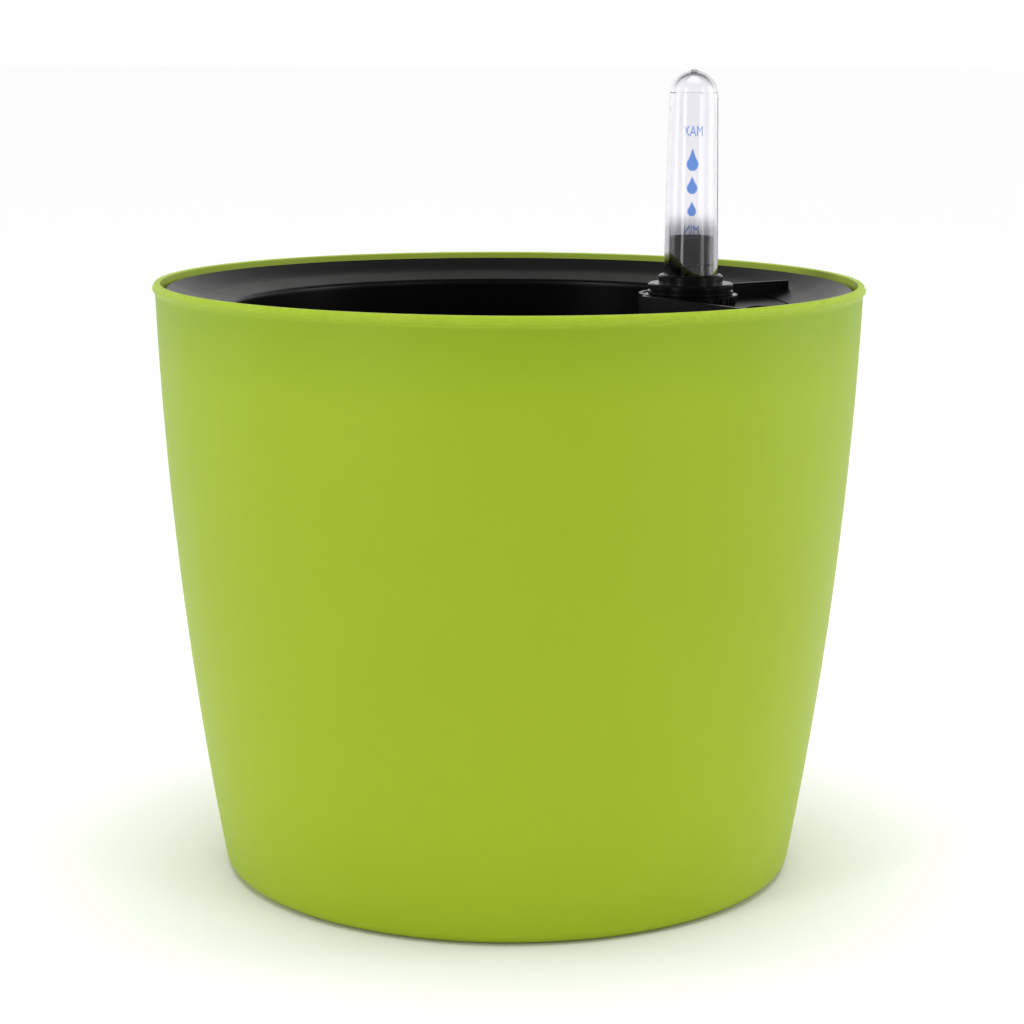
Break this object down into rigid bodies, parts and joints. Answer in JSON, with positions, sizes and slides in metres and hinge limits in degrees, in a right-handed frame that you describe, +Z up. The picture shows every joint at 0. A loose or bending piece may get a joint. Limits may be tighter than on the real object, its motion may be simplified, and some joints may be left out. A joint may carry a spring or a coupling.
{
  "type": "self watering planter",
  "caption": "Round self-watering planter: coloured outer pot, black soil liner with a filling shaft, fibre wicks, drain grate and a float gauge with a clear domed tube.",
  "frame": {"origin": "centre of the pot's foot, on the surface it stands on", "axes": "+Z up along the pot's axis, +X from the pot's axis towards the gauge, +Y completes the right-handed set"},
  "size_m": [0.2617, 0.2618, 0.2974],
  "materials": {
    "pot_green": "satin moulded plastic with a fine grain",
    "liner_black": "satin black moulded plastic",
    "grate_black": "matt black moulded plastic",
    "plug_black": "matt black moulded plastic",
    "gauge_black": "semi-gloss black moulded plastic",
    "seal_rubber": "soft black rubber",
    "wick_fibre": "pressed off-white fibre",
    "tube_clear": "clear moulded plastic",
    "float_white": "closed-cell foam",
    "rod_white": "smooth drawn plastic",
    "tip_red": "glossy red plastic"
  },
  "bodies": {
    "pot": {"outer_pot": "pot_green", "plug_washer": "seal_rubber"},
    "plug": {"drain_plug": "plug_black"},
    "liner": {"inner_liner": "liner_black", "fill_tray": "liner_black", "wick_right_back": "wick_fibre", "wick_left_back": "wick_fibre", "wick_left_front": "wick_fibre", "wick_right_front": "wick_fibre"},
    "grate": {"drain_grate": "grate_black"},
    "gauge": {"gauge_body": "gauge_black", "clamp_ring": "gauge_black", "gauge_gasket": "seal_rubber", "tube_seal": "seal_rubber", "sight_tube": "tube_clear", "guide_tube": "liner_black", "tube_strainer": "grate_black"},
    "float_unit": {"float": "float_white", "float_rod": "rod_white", "rod_tip": "tip_red", "float_clip": "plug_black"}
  },
  "joints": [
    {"name": "plug_turn", "type": "hinge", "parent": "pot", "child": "plug", "pos_m": [0, 0, 0.003], "axis": [0, 0, 1], "range_deg": [0, 720]},
    {"name": "liner_lift", "type": "slide", "parent": "pot", "child": "liner", "axis": [0, 0, 1], "range_m": [0, 0.22]},
    {"name": "grate_lift", "type": "slide", "parent": "liner", "child": "grate", "axis": [0, 0, 1], "range_m": [0, 0.17]},
    {"name": "gauge_lift", "type": "slide", "parent": "liner", "child": "gauge", "axis": [0, 0, 1], "range_m": [0, 0.215]},
    {"name": "float_rise", "type": "slide", "parent": "gauge", "child": "float_unit", "axis": [0, 0, 1], "range_m": [0, 0.041]}
  ]
}
